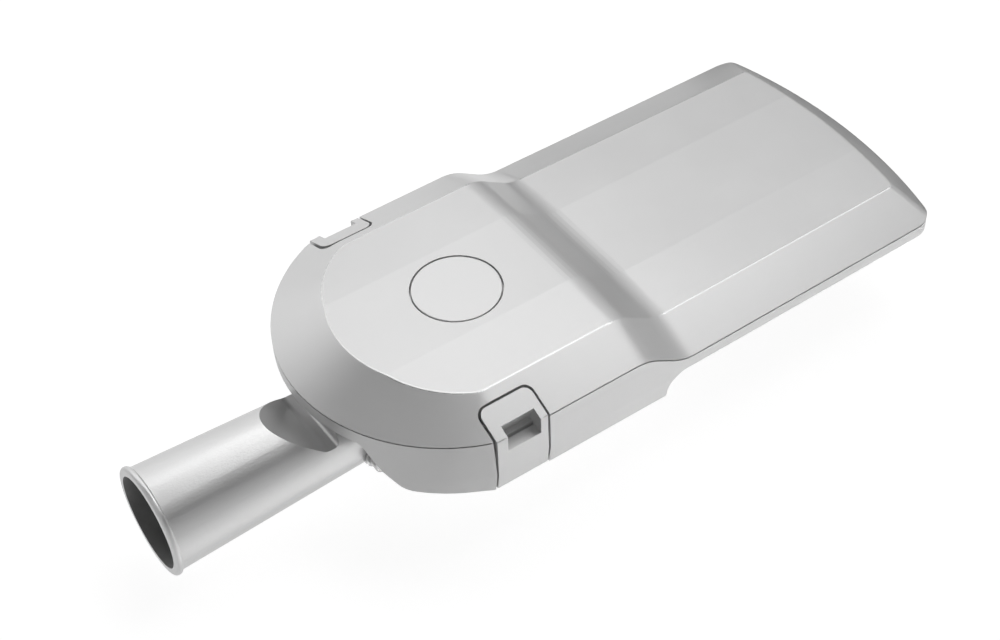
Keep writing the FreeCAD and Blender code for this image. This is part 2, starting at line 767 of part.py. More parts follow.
def top_cover():
    x0 = nose_centre_x - nose_radius - 10
    x1 = tip_x + 10
    y = half_width + 10
    low = gear_parting_z - step_drop - 15
    mass = round_ridges(cover_mass(low))
    hollow = mass.translated(Vector(0, 0, -cover_wall)).common(plan_block(cover_wall, low - 5, 120))
    pieces = [mass.cut(hollow)]
    bay_x = latch_bay_x(latch_bay_wall)
    bay = box(bay_x[0], bay_x[1], latch_top_y - latch_gap / 2 - latch_bay_wall, y, low, 80).common(mass)
    pieces += both_sides(bay)
    rib = seal_band(1.0, seal_width - 2.0, low, 80).common(mass)
    pieces.append(rib)
    crown_z = gear_parting_z + crown_height
    pad = along_z(socket_x, 0, crown_z - socket_seat_depth - cover_wall, socket_groove_radius + 4.0,
                  socket_seat_depth + cover_wall - 1)
    pieces.append(pad)
    sector, web = hinge_tongue()
    for part in both_sides(web):
        pieces.append(part.common(mass))
    body = fused(pieces)
    body = body.cut(under_step(parting_gap / 2, x0, x1, -y, y, low - 10))
    body = fused([body] + both_sides(sector))
    cut_x = latch_bay_x(0.0)
    notch = rounded_plan(cut_x[0], cut_x[1], latch_top_y - latch_gap / 2, y + 40,
                         latch_corner + latch_gap / 2, -10, 90)
    for part in both_sides(notch):
        body = body.cut(part)
    wall_y = latch_top_y - latch_gap / 2
    window = box(nose_start_x - 2, nose_end_x + 2, wall_y - latch_bay_wall - 1, wall_y + 1,
                 gear_parting_z + 0.9, bevel_z(grip_back_y) - latch_plate + 1.6)
    for part in both_sides(window):
        body = body.cut(part)
    seat = along_z(socket_x, 0, crown_z - socket_seat_depth, socket_groove_radius + socket_groove / 2, 20)
    body = body.cut(seat).cut(along_z(socket_x, 0, 0, socket_hole_radius, 100))
    return one_solid(body)


def socket_cap():
    crown_z = gear_parting_z + crown_height
    disc_radius = socket_groove_radius - socket_groove / 2
    disc = along_z(socket_x, 0, crown_z - cap_thickness, disc_radius, cap_thickness)
    rim = [e for e in disc.Edges if e.BoundBox.ZMin > crown_z - 0.1 and type(e.Curve).__name__ == "Circle"]
    disc = disc.makeFillet(0.6, rim)
    plug_radius = socket_hole_radius - 0.4
    depth = socket_seat_depth + cover_wall + 5.0
    plug = along_z(socket_x, 0, crown_z - depth, plug_radius, depth - 1)
    bore = along_z(socket_x, 0, crown_z - depth - 1, plug_radius - 3.0, depth - cap_thickness + 1)
    return one_solid(disc.fuse(plug).cut(bore))


def socket_seal():
    base_z = gear_parting_z + crown_height - socket_seat_depth
    ring = along_z(socket_x, 0, base_z, socket_groove_radius - 2.0, socket_seat_depth - cap_thickness)
    return ring.cut(along_z(socket_x, 0, base_z - 1, socket_hole_radius + 0.5, 10))


def socket_nut():
    top_z = gear_parting_z + crown_height - socket_seat_depth - cover_wall
    nut = hexagon(Vector(socket_x, 0, top_z - 4.0), 2 * socket_hole_radius + 12.0, 4.0, Vector(0, 0, 1))
    return nut.cut(along_z(socket_x, 0, top_z - 10, socket_hole_radius - 0.35, 20))


def bevel_z(y):
    slope = (ridge_height - edge_land) / (half_width - ridge_y)
    return gear_parting_z + edge_land + slope * (half_width - y)


# Side latch: a plate that follows bevel and wall, a finger grip, a nose and a barrel at its foot
def latch():
    x0 = latch_start_x + latch_gap / 2
    x1 = latch_end_x - latch_gap / 2
    top_y = latch_top_y + latch_gap / 2
    fold_z = gear_parting_z + edge_land
    foot_y = half_width - skirt_draft * (skirt_fold_z - latch_foot_z) / (skirt_fold_z - floor_z)
    skin = [(top_y, bevel_z(top_y)), (half_width, fold_z), (half_width, skirt_fold_z), (foot_y, latch_foot_z)]
    inner = [(foot_y - latch_plate, latch_foot_z), (half_width - latch_plate, skirt_fold_z),
             (half_width - latch_plate, fold_z - 1.6), (top_y, bevel_z(top_y) - latch_plate - 0.3)]
    plate = prism_yz(skin + inner, [0, 1.0, 0, 0, 0, 0, 0, 0], x0, x1)
    far_y = half_width - 26
    envelope = slab_yz(skin + [(far_y, latch_foot_z), (far_y, bevel_z(top_y))], x0, x1)
    w = grip_wall
    high = fold_z + 30
    cup = slab_yz([(grip_top_y - w, high), (grip_top_y - w, fold_z + 2.1), (grip_back_y - w, ledge_z + 2.0),
                   (grip_back_y - w, grip_foot_z + 1.9), (grip_back_y + w, grip_foot_z - w),
                   (half_width + 3, grip_foot_z - w), (half_width + 3, high)],
                  grip_start_x - w, grip_end_x + w).common(envelope)
    barrel = along_x(x0, latch_pin_y, latch_pin_z, latch_barrel_radius, x1 - x0)
    nose = box(nose_start_x, nose_end_x, latch_top_y - latch_gap / 2 + 0.3, grip_back_y + 1.5,
               gear_parting_z + 1.2, bevel_z(grip_back_y) - latch_plate + 0.4)
    body = fused([plate, cup, barrel, nose.common(envelope)])
    corner = rounded_plan(x0, x1, top_y, half_width + 40, latch_corner, -20, 90)
    core = box(grip_start_x - w, grip_end_x + w, far_y, half_width + 5, -20, bevel_z(top_y) - latch_plate - 0.3)
    body = body.common(corner.fuse(core))
    slot_y = ledge_y + ledge_slot
    grip = slab_yz([(grip_top_y, high), (grip_top_y, bevel_z(grip_top_y) - 0.6), (grip_back_y, ledge_z + 0.5),
                    (grip_back_y + 0.5, ledge_z), (ledge_y, ledge_z), (ledge_y, grip_foot_z - 0.8),
                    (slot_y, grip_foot_z - 0.8), (slot_y, grip_foot_z + 0.6), (half_width, grip_foot_z),
                    (half_width + 5, grip_foot_z), (half_width + 5, high)], grip_start_x, grip_end_x)
    body = body.cut(grip)
    body = body.cut(along_x(x0 - 1, latch_pin_y, latch_pin_z, latch_pin_radius + pivot_clearance, x1 - x0 + 2))
    return one_solid(body)


def latch_pins():
    pin_x = latch_bay_x(latch_pin_seat - 0.3)
    return both_sides(along_x(pin_x[0], latch_pin_y, latch_pin_z, latch_pin_radius, pin_x[1] - pin_x[0]))


def glass_seal():
    base = frame_underside_z + floor_wall
    ring = chamber(glass_lap, base, base + glass_seal_thickness)
    return ring.cut(chamber(0.0, base - 1, base + 5))


def glass_pane():
    base = frame_underside_z + floor_wall + glass_seal_thickness
    return chamber(glass_lap, base, base + glass_thickness)


# Frame that presses the glass onto its seal, held down by the heat plate
def glass_retainer():
    base = frame_underside_z + floor_wall + glass_seal_thickness + glass_thickness
    ring = chamber(glass_lap - 0.5, base, chamber_top_z)
    return ring.cut(chamber(0.5, base - 1, chamber_top_z + 1))


def heat_plate():
    side = window_half_width + glass_lap + chamber_clearance + 1.5
    end_x0 = plate_screw_x[0] - boss_radius
    end_x1 = plate_screw_x[1] + boss_radius
    plate = rounded_plan(end_x0, end_x1, -side, side, 6.0, chamber_top_z, chamber_top_z + plate_thickness)
    pieces = [plate]
    fin_count = 7
    pitch = 18.0
    for i in range(fin_count):
        y = (i - (fin_count - 1) / 2) * pitch
        pieces.append(box(window_start_x, window_end_x, y - 1.25, y + 1.25, chamber_top_z + plate_thickness,
                          chamber_top_z + plate_thickness + 3.0))
    body = fused(pieces)
    for x in plate_screw_x:
        for y in plate_screw_y:
            for cut in both_sides(along_z(x, y, 0, plate_screw_radius + 0.2, 80)):
                body = body.cut(cut)
    for x, y in board_screw_spots():
        body = body.cut(along_z(x, y, 0, 1.5, chamber_top_z + 2.0))
    return one_solid(body)


def heat_plate_screws():
    screws = []
    for x in plate_screw_x:
        for y in plate_screw_y:
            seat = chamber_top_z + plate_thickness
            screws += both_sides(screw_down(x, y, seat, plate_screw_radius, 9.0, plate_head_radius, plate_head_height))
    return screws


def led_spots():
    spots = []
    middle = (window_start_x + window_end_x) / 2
    for i in range(led_columns):
        for j in range(led_rows):
            spots.append((middle + (i - (led_columns - 1) / 2) * led_pitch_x,
                          (j - (led_rows - 1) / 2) * led_pitch_y))
    return spots


def board_screw_spots():
    middle = (window_start_x + window_end_x) / 2
    reach = (led_columns / 2) * led_pitch_x
    return [(middle + i * reach, side * led_pitch_y) for i in (-1, 0, 1) for side in (1, -1)]


def board_half(side, margin, z0, z1):
    middle = (window_start_x + window_end_x) / 2
    half = (led_columns / 2) * led_pitch_x + margin
    y0 = 0.6
    y1 = led_pitch_y * led_rows / 2
    block = rounded_plan(middle - half, middle + half, y0, y1, 3.0, z0, z1)
    return block if side > 0 else mirrored(block)


def led_boards():
    boards = []
    for side in (1, -1):
        board = board_half(side, 4.0, chamber_top_z - board_thickness, chamber_top_z)
        for x, y in board_screw_spots():
            board = board.cut(along_z(x, y, 0, 1.7, 80))
        boards.append(board)
    return boards


def leds():
    top = chamber_top_z - board_thickness
    half = led_size / 2
    return [box(x - half, x + half, y - half, y + half, top - led_height, top) for x, y in led_spots()]


def lens_plates():
    top = chamber_top_z - board_thickness
    base = top - lens_base
    cap_radius = (lens_radius ** 2 + lens_height ** 2) / (2 * lens_height)
    plates = []
    for side in (1, -1):
        plate = board_half(side, 4.0, base, top)
        for x, y in led_spots():
            if y * side < 0:
                continue
            ball = Part.makeSphere(cap_radius, Vector(x, y, base - lens_height + cap_radius))
            cap = ball.common(box(x - 10, x + 10, y - 10, y + 10, base - 5, base + 0.4))
            plate = plate.fuse(cap)
        plate = plate.removeSplitter()
        for x, y in led_spots():
            half = lens_pocket / 2
            plate = plate.cut(box(x - half, x + half, y - half, y + half, top - led_height - 0.2, top + 1))
        for x, y in board_screw_spots():
            plate = plate.cut(along_z(x, y, 0, 1.7, 80))
        plates.append(plate)
    return plates


def board_screws():
    base = chamber_top_z - board_thickness - lens_base
    screws = []
    for x, y in board_screw_spots():
        head = along_z(x, y, base - 1.6, 2.8, 1.6)
        screws.append(head.fuse(along_z(x, y, base, 1.5, chamber_top_z + 2.0 - base)).removeSplitter())
    return screws


def gear_plate():
    plate = rounded_plan(gear_plate_x[0], gear_plate_x[1], -gear_plate_y, gear_plate_y, 5.0,
                         gear_plate_z, gear_plate_z + gear_plate_t)
    lip = box(gear_plate_x[1] - gear_plate_t, gear_plate_x[1], -gear_plate_y + 8, gear_plate_y - 8,
              gear_plate_z, gear_plate_z + gear_lip_height)
    body = fused([plate, lip])
    for x, y in gear_boss_spots:
        for cut in both_sides(along_z(x, y, 0, plate_screw_radius + 0.2, 80)):
            body = body.cut(cut)
    for x, y in driver_screw_spots() + [(earth_x, earth_y)]:
        body = body.cut(along_z(x, y, 0, plate_screw_radius, 80))
    return one_solid(body)


def gear_plate_screws():
    screws = []
    for x, y in gear_boss_spots:
        seat = gear_plate_z + gear_plate_t
        screws += both_sides(screw_down(x, y, seat, plate_screw_radius, gear_plate_t + 3.5, plate_head_radius, plate_head_height))
    return screws


def driver_screw_spots():
    middle = (driver_x[0] + driver_x[1]) / 2
    return [(middle, driver_y[0] - driver_tab_reach / 2), (middle, driver_y[1] + driver_tab_reach / 2)]


def led_driver():
    z0 = gear_plate_z + gear_plate_t
    case = rounded_plan(driver_x[0], driver_x[1], driver_y[0], driver_y[1], 3.0, z0, z0 + driver_height)
    middle = (driver_x[0] + driver_x[1]) / 2
    tabs = box(middle - 9, middle + 9, driver_y[0] - driver_tab_reach, driver_y[1] + driver_tab_reach,
               z0, z0 + driver_tab_height)
    body = fused([case, tabs])
    for x, y in driver_screw_spots():
        body = body.cut(along_z(x, y, 0, plate_screw_radius + 0.2, 80))
    for i in range(7):
        y = driver_y[0] + 8 + i * 6.0
        body = body.cut(box(driver_x[0] - 1, driver_x[0] + 5, y, y + 4, z0 + 6, z0 + 12))
    return one_solid(body)


def driver_screws():
    seat = gear_plate_z + gear_plate_t + driver_tab_height
    length = driver_tab_height + gear_plate_t + 1.5
    return [screw_down(x, y, seat, plate_screw_radius, length, plate_head_radius, plate_head_height) for x, y in driver_screw_spots()]


def terminal_block():
    z0 = gear_plate_z + gear_plate_t
    top = z0 + terminal_height
    body = box(terminal_x, terminal_x + terminal_depth, -terminal_half, terminal_half, z0, top)
    pitch = 2 * terminal_half / terminal_ways
    for i in range(terminal_ways):
        y = -terminal_half + pitch * (i + 0.5)
        body = body.cut(along_z(terminal_x + terminal_depth / 2, y, top - 7, pitch * 0.28, 10))
        body = body.cut(box(terminal_x - 1, terminal_x + 3, y - pitch * 0.27, y + pitch * 0.27, z0 + 3, z0 + 9))
    return one_solid(body)


def surge_protector():
    z0 = gear_plate_z + gear_plate_t
    top = z0 + surge_height
    y1 = -(terminal_half + surge_gap)
    y0 = y1 - surge_length
    block = rounded_plan(terminal_x, terminal_x + terminal_depth, y0, y1, 2.5, z0, top)
    return block.cut(box(terminal_x + 6, terminal_x + terminal_depth - 6, y0 + 6, y1 - 6, top - 2, top + 5))


def gland_body():
    wall0 = pocket_end_x
    flange = hexagon(Vector(wall0 - 6, gland_y, gland_z), 23.0, 6.0, Vector(1, 0, 0))
    thread = along_x(wall0, gland_y, gland_z, gland_radius, frame_wall + 7)
    neck = along_x(wall0 - 12, gland_y, gland_z, gland_radius - 1, 7)
    body = fused([flange, thread, neck])
    return one_solid(body.cut(along_x(wall0 - 20, gland_y, gland_z, gland_bore_radius, 50)))


def gland_cap():
    x0 = pocket_end_x - 20
    cap = along_x(x0, gland_y, gland_z, 12.0, 13.5)
    cap = cap.makeFillet(2.0, [e for e in cap.Edges if e.BoundBox.XMax < x0 + 0.1])
    cap = cap.cut(along_x(x0 + 8, gland_y, gland_z, gland_radius - 1, 10))
    return one_solid(cap.cut(along_x(x0 - 1, gland_y, gland_z, gland_bore_radius - 0.8, 20)))


def gland_insert():
    x0 = pocket_end_x - 12
    ring = along_x(x0, gland_y, gland_z, gland_bore_radius, 11)
    return ring.cut(along_x(x0 - 1, gland_y, gland_z, gland_cord_radius, 20))


def gland_nut():
    x0 = pocket_end_x + frame_wall
    nut = hexagon(Vector(x0, gland_y, gland_z), 24.0, 4.5, Vector(1, 0, 0))
    return nut.cut(along_x(x0 - 1, gland_y, gland_z, gland_radius, 10))


# Pressure vent through the tray's floor: a head with a slot round it below, a ring of barbs above
def breather_vent():
    head = along_z(vent_x, vent_y, floor_z - vent_head_height, vent_head_radius, vent_head_height)
    low = [e for e in head.Edges if e.BoundBox.ZMax < floor_z - vent_head_height + 0.1]
    head = head.makeFillet(0.8, low)
    shank = along_z(vent_x, vent_y, floor_z - 1, vent_radius, floor_wall + 1 + 1.2)
    barb = Part.makeCone(vent_radius + 0.8, vent_radius - 0.8, 2.0,
                         Vector(vent_x, vent_y, floor_z + floor_wall), Vector(0, 0, 1))
    body = fused([head, shank, barb])
    slot = box(vent_x - 12, vent_x + 12, vent_y - 1, vent_y + 1, floor_z - 1.6, floor_z - 0.8)
    return one_solid(body.cut(slot))


def earth_screw():
    seat = gear_plate_z + gear_plate_t
    screw = screw_down(earth_x, earth_y, seat + 1.0, plate_screw_radius, gear_plate_t + 3.0,
                       plate_head_radius, plate_head_height)
    washer = along_z(earth_x, earth_y, seat, plate_head_radius + 1.2, 1.0)
    return one_solid(screw.fuse(washer).removeSplitter())


def write(name, solids):
    if not isinstance(solids, list):
        solids = [solids]
    shape = solids[0] if len(solids) == 1 else Part.makeCompound(solids)
    count = sum(len(s.Solids) for s in solids)
    valid = all(s.isValid() for s in solids)
    if count != len(solids) or not valid:
        print("check", name, "solids", count, "of", len(solids), "valid", valid)
    shape.exportStep("parts/" + name + ".step")


right_latch = mirrored(latch())
write("spigot", spigot())
write("spigot_set_screws", spigot_set_screws())
write("pivot_bolts", pivot_bolts())
write("pivot_washers", pivot_washers())
write("lower_frame", lower_frame())
write("cover_seal", cover_seal())
write("latch_pins", latch_pins())
write("glass_seal", glass_seal())
write("glass_pane", glass_pane())
write("glass_retainer", glass_retainer())
write("heat_plate", heat_plate())
write("heat_plate_screws", heat_plate_screws())
write("led_boards", led_boards())
write("leds", leds())
write("lens_plates", lens_plates())
write("board_screws", board_screws())
write("gear_plate", gear_plate())
write("gear_plate_screws", gear_plate_screws())
write("led_driver", led_driver())
write("driver_screws", driver_screws())
write("terminal_block", terminal_block())
write("surge_protector", surge_protector())
write("gland_body", gland_body())
write("gland_cap", gland_cap())
write("gland_insert", gland_insert())
write("gland_nut", gland_nut())
write("breather_vent", breather_vent())
write("earth_screw", earth_screw())
write("top_cover", top_cover())
write("socket_cap", socket_cap())
write("socket_seal", socket_seal())
write("socket_nut", socket_nut())
write("latch_left", latch())
write("latch_right", right_latch)
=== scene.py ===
import math

import bpy
from mathutils import Matrix, Vector


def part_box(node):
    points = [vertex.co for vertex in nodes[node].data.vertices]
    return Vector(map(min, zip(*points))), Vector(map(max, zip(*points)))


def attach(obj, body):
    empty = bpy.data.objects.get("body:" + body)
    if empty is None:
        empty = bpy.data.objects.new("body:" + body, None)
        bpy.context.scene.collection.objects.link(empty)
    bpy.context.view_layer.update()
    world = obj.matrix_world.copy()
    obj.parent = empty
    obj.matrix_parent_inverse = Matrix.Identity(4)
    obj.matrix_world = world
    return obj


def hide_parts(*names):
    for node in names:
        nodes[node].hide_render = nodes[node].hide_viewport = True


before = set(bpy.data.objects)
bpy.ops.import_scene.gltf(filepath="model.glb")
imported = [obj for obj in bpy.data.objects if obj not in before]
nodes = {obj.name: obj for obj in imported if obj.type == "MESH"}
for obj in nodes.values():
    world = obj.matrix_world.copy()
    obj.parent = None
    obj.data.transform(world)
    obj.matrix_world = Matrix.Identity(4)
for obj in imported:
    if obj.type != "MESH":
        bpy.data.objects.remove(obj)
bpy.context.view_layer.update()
print("frame loaded:", len(nodes), "nodes")

for item in bpy.context.selected_objects:
    item.select_set(False)

quarter = math.pi / 2
upward = Vector((0, 0, 1))

# Noise seldom leaves its span, so the span is drawn out to the full range
noiseLook = {"span": (0.3, 0.7), "cloudDetail": 3, "grainDetail": 2}


# Material helpers: every pattern is read from Object coordinates
def newMaterial(name):
    material = bpy.data.materials.new(name)
    material.use_nodes = True
    tree = material.node_tree
    shader = tree.nodes["Principled BSDF"]
    return material, tree, shader


def objectCoords(tree, scale=(1, 1, 1)):
    coords = tree.nodes.new("ShaderNodeTexCoord")
    mapping = tree.nodes.new("ShaderNodeMapping")
    mapping.inputs["Scale"].default_value = scale
    tree.links.new(coords.outputs["Object"], mapping.inputs["Vector"])
    return mapping.outputs["Vector"]


def addNoise(tree, vector, scale, detail):
    noise = tree.nodes.new("ShaderNodeTexNoise")
    noise.inputs["Scale"].default_value = scale
    noise.inputs["Detail"].default_value = detail
    tree.links.new(vector, noise.inputs["Vector"])
    return noise.outputs["Fac"]


def addRange(tree, value, low, high):
    spread = tree.nodes.new("ShaderNodeMapRange")
    spread.inputs["From Min"].default_value = noiseLook["span"][0]
    spread.inputs["From Max"].default_value = noiseLook["span"][1]
    spread.inputs["To Min"].default_value = low
    spread.inputs["To Max"].default_value = high
    tree.links.new(value, spread.inputs["Value"])
    return spread.outputs["Result"]


def addRamp(tree, value, low, high):
    ramp = tree.nodes.new("ShaderNodeValToRGB")
    first, last = ramp.color_ramp.elements[0], ramp.color_ramp.elements[1]
    first.position, last.position = noiseLook["span"]
    first.color = (*low, 1)
    last.color = (*high, 1)
    tree.links.new(value, ramp.inputs["Fac"])
    return ramp.outputs["Color"]


def addBump(tree, shader, value, strength, distance):
    bump = tree.nodes.new("ShaderNodeBump")
    bump.inputs["Strength"].default_value = strength
    bump.inputs["Distance"].default_value = distance
    tree.links.new(value, bump.inputs["Height"])
    tree.links.new(bump.outputs["Normal"], shader.inputs["Normal"])


def grey(value, tint=0.0):
    return (value, value, value * (1 - tint))


# A finish with a slight colour cloud, a roughness cloud and a fine grain in relief;
# stretch draws them out along an axis, as on a brushed or rolled surface
def makeFinish(name, low, high, rough, metallic=0.0, grain=900.0, relief=0.1, depth=0.00004, cloud=14.0,
               stretch=(1, 1, 1)):
    material, tree, shader = newMaterial(name)
    plain = objectCoords(tree, stretch)
    patches = addNoise(tree, plain, cloud, noiseLook["cloudDetail"])
    tree.links.new(addRamp(tree, patches, low, high), shader.inputs["Base Color"])
    tree.links.new(addRange(tree, patches, rough[0], rough[1]), shader.inputs["Roughness"])
    addBump(tree, shader, addNoise(tree, plain, grain, noiseLook["grainDetail"]), relief, depth)
    shader.inputs["Metallic"].default_value = metallic
    return material


castingPaint = makeFinish("castingPaint", grey(0.66), grey(0.70), (0.33, 0.38), metallic=0.28, grain=1400,
                          relief=0.12, depth=0.00005)
# Painted highlight for the cover's ridges: a little lighter and glossier than castingPaint
paintedRidgeHighlight = makeFinish("paintedRidgeHighlight", grey(0.69), grey(0.73), (0.17, 0.21), metallic=0.30, grain=1400,
                        relief=0.05, depth=0.00005)
spigotMetal = makeFinish("spigotMetal", grey(0.57), grey(0.61), (0.35, 0.40), metallic=0.60, grain=1000,
                         relief=0.5, depth=0.00017, cloud=22, stretch=(0.5, 1, 1))
# Painted shade for the inside of the spigot's bore: darker and duller than spigotMetal
paintedBoreShade = makeFinish("paintedBoreShade", grey(0.30), grey(0.42), (0.62, 0.78), metallic=0.3, grain=420, relief=0.4,
                     depth=0.00015, cloud=60)
capPlastic = makeFinish("capPlastic", grey(0.72), grey(0.75), (0.33, 0.40), metallic=0.26, grain=1900,
                        relief=0.08)
steelFinish = makeFinish("steelFinish", grey(0.36), grey(0.46), (0.22, 0.34), metallic=1.0, grain=1600)
sealRubber = makeFinish("sealRubber", grey(0.016), grey(0.026), (0.62, 0.78), grain=700, relief=0.3)
retainerWhite = makeFinish("retainerWhite", grey(0.72), grey(0.78), (0.45, 0.6))
ledYellow = makeFinish("ledYellow", (0.78, 0.52, 0.05), (0.86, 0.62, 0.10), (0.25, 0.35), cloud=200)
ledPackage = makeFinish("ledPackage", grey(0.80, 0.03), grey(0.86, 0.03), (0.3, 0.4), cloud=300)
bareAluminium = makeFinish("bareAluminium", grey(0.55), grey(0.66), (0.34, 0.5), metallic=1.0, grain=1100,
                           stretch=(0.2, 1, 1))
zincSheet = makeFinish("zincSheet", grey(0.50), grey(0.68), (0.28, 0.46), metallic=1.0, cloud=45)
driverCase = makeFinish("driverCase", grey(0.66, 0.03), grey(0.72, 0.03), (0.5, 0.62), grain=1800)
terminalGrey = makeFinish("terminalGrey", grey(0.26), grey(0.31), (0.45, 0.55))
surgeGrey = makeFinish("surgeGrey", grey(0.035), grey(0.055), (0.4, 0.52))
glandBlack = makeFinish("glandBlack", grey(0.020), grey(0.032), (0.38, 0.5))

# White lacquer with the copper tracks standing faintly under it
boardLook = {
    "low": grey(0.80), "high": grey(0.84), "track": (0.58, 0.60, 0.55), "trackWidth": 0.02, "scale": 30.0,
    "fieldWidth": 0.57, "fieldHeight": 0.498, "cloud": 60, "rough": (0.34, 0.46), "relief": 0.4,
    "depth": 0.00003,
}


def makeBoard(name, look):
    material, tree, shader = newMaterial(name)
    plain = objectCoords(tree)
    tracks = tree.nodes.new("ShaderNodeTexBrick")
    tracks.inputs["Color1"].default_value = (*look["low"], 1)
    tracks.inputs["Color2"].default_value = (*look["high"], 1)
    tracks.inputs["Mortar"].default_value = (*look["track"], 1)
    tracks.inputs["Scale"].default_value = look["scale"]
    tracks.inputs["Mortar Size"].default_value = look["trackWidth"]
    tracks.inputs["Brick Width"].default_value = look["fieldWidth"]
    tracks.inputs["Row Height"].default_value = look["fieldHeight"]
    tree.links.new(plain, tracks.inputs["Vector"])
    tree.links.new(tracks.outputs["Color"], shader.inputs["Base Color"])
    patches = addNoise(tree, plain, look["cloud"], noiseLook["grainDetail"])
    tree.links.new(addRange(tree, patches, look["rough"][0], look["rough"][1]), shader.inputs["Roughness"])
    addBump(tree, shader, tracks.outputs["Fac"], look["relief"], look["depth"])
    return material


boardWhite = makeBoard("boardWhite", boardLook)


def makeClear(name, colour, rough, ior, cloud=30):
    material, tree, shader = newMaterial(name)
    shader.inputs["Base Color"].default_value = (*colour, 1)
    shader.inputs["IOR"].default_value = ior
    shader.inputs["Transmission Weight"].default_value = 1.0
    patches = addNoise(tree, objectCoords(tree), cloud, noiseLook["grainDetail"])
    tree.links.new(addRange(tree, patches, rough[0], rough[1]), shader.inputs["Roughness"])
    return material


paneGlass = makeClear("paneGlass", (0.93, 0.97, 0.95), (0.0, 0.02), 1.5)
lensClear = makeClear("lensClear", (0.97, 0.98, 0.98), (0.02, 0.06), 1.49)

finishes = {
    castingPaint: ["top_cover", "lower_frame", "latch_left", "latch_right"],
    capPlastic: ["socket_cap"],
    spigotMetal: ["spigot"],
    steelFinish: ["spigot_set_screws", "pivot_bolts", "pivot_washers", "latch_pins", "heat_plate_screws",
                  "board_screws", "gear_plate_screws", "driver_screws", "earth_screw"],
    sealRubber: ["cover_seal", "glass_seal", "gland_insert", "socket_seal"],
    retainerWhite: ["glass_retainer"],
    boardWhite: ["led_boards"],
    ledPackage: ["leds"],
    bareAluminium: ["heat_plate"],
    zincSheet: ["gear_plate"],
    driverCase: ["led_driver"],
    terminalGrey: ["terminal_block"],
    surgeGrey: ["surge_protector"],
    glandBlack: ["gland_body", "gland_cap", "gland_nut", "socket_nut", "breather_vent"],
    paneGlass: ["glass_pane"],
    lensClear: ["lens_plates"],
}
for material, members in finishes.items():
    for member in members:
        nodes[member].data.materials.clear()
        nodes[member].data.materials.append(material)
print("materials made:", len(bpy.data.materials))

# Castings and mouldings get a copy with softened edges, which stands for the frame's node;
# crease marks the crown's two shallow creases, which stay crisp though they are below the smoothing angle
softening = {"merge": 0.000004, "flatWithin": 0.3, "segments": 2, "angle": 28.0, "flatWeight": 90}
softEdges = {
    "top_cover": {"piece": "coverSkin", "body": "cover", "slot": "painted_casting", "width": 0.00035,
                  "crease": {"side": 0.035, "reach": 0.0003, "above": 0.03}},
    "lower_frame": {"piece": "frameSkin", "body": "housing", "slot": "painted_casting", "width": 0.00035},
    "latch_left": {"piece": "latchLeftSkin", "body": "left_latch", "slot": "painted_casting",
                   "width": 0.0003},
    "latch_right": {"piece": "latchRightSkin", "body": "right_latch", "slot": "painted_casting",
                    "width": 0.0003},
    "spigot": {"piece": "spigotSkin", "body": "spigot_body", "slot": "spigot_metal", "width": 0.0004},
    "socket_cap": {"piece": "capSkin", "body": "cover", "slot": "cap_plastic", "width": 0.0002},
    "socket_nut": {"piece": "socketNutSkin", "body": "cover", "slot": "gland_plastic", "width": 0.0004},
    "cover_seal": {"piece": "sealSkin", "body": "housing", "slot": "seal_rubber", "width": 0.0008,
                   "segments": 3},
    "glass_retainer": {"piece": "retainerSkin", "body": "housing", "slot": "retainer_plastic",
                       "width": 0.0004},
    "heat_plate": {"piece": "heatSkin", "body": "housing", "slot": "bare_aluminium", "width": 0.0002},
    "gear_plate": {"piece": "gearPlateSkin", "body": "housing", "slot": "zinc_sheet", "width": 0.0003},
    "led_driver": {"piece": "driverSkin", "body": "housing", "slot": "driver_case", "width": 0.0009,
                   "segments": 3},
    "terminal_block": {"piece": "terminalSkin", "body": "housing", "slot": "terminal_plastic",
                       "width": 0.0004},
    "surge_protector": {"piece": "surgeSkin", "body": "housing", "slot": "surge_plastic", "width": 0.0007,
                        "segments": 3},
    "gland_body": {"piece": "glandSkin", "body": "housing", "slot": "gland_plastic", "width": 0.0004},
    "gland_cap": {"piece": "glandCapSkin", "body": "housing", "slot": "gland_plastic", "width": 0.0004},
    "gland_nut": {"piece": "glandNutSkin", "body": "housing", "slot": "gland_plastic", "width": 0.0004},
    "pivot_bolts": {"piece": "boltSkin", "body": "housing", "slot": "steel", "width": 0.0003},
    "pivot_washers": {"piece": "washerSkin", "body": "housing", "slot": "steel", "width": 0.0002},
}


def onCrease(point, crease):
    return abs(abs(point.y) - crease["side"]) < crease["reach"] and point.z > crease["above"]


def softened(nodeName, spec):
    source = nodes[nodeName]
    piece = source.copy()
    piece.data = source.data.copy()
    piece.parent = None
    piece.name = spec["piece"]
    bpy.context.scene.collection.objects.link(piece)
    for key in list(piece.keys()):
        del piece[key]
    piece.select_set(True)
    bpy.context.view_layer.objects.active = piece
    bpy.ops.object.mode_set(mode="EDIT")
    bpy.ops.mesh.select_all(action="SELECT")
    bpy.ops.mesh.remove_doubles(threshold=softening["merge"])
    bpy.ops.mesh.dissolve_limited(angle_limit=math.radians(softening["flatWithin"]))
    bpy.ops.object.mode_set(mode="OBJECT")
    rounding = piece.modifiers.new("edges", "BEVEL")
    rounding.width = spec["width"]
    rounding.segments = spec.get("segments", softening["segments"])
    rounding.limit_method = "ANGLE"
    rounding.angle_limit = math.radians(softening["angle"])
    rounding.use_clamp_overlap = True
    bpy.ops.object.modifier_apply(modifier="edges")
    bpy.ops.object.shade_smooth_by_angle(angle=math.radians(softening["angle"]))
    if "crease" in spec:
        for edge in piece.data.edges:
            ends = [piece.data.vertices[index].co for index in edge.vertices]
            if all(onCrease(end, spec["crease"]) for end in ends):
                edge.use_edge_sharp = True
    even = piece.modifiers.new("flats", "WEIGHTED_NORMAL")
    even.mode = "FACE_AREA"
    even.weight = softening["flatWeight"]
    even.keep_sharp = True
    bpy.ops.object.modifier_apply(modifier="flats")
    piece.select_set(False)
    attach(piece, spec["body"])
    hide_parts(nodeName)
    return piece


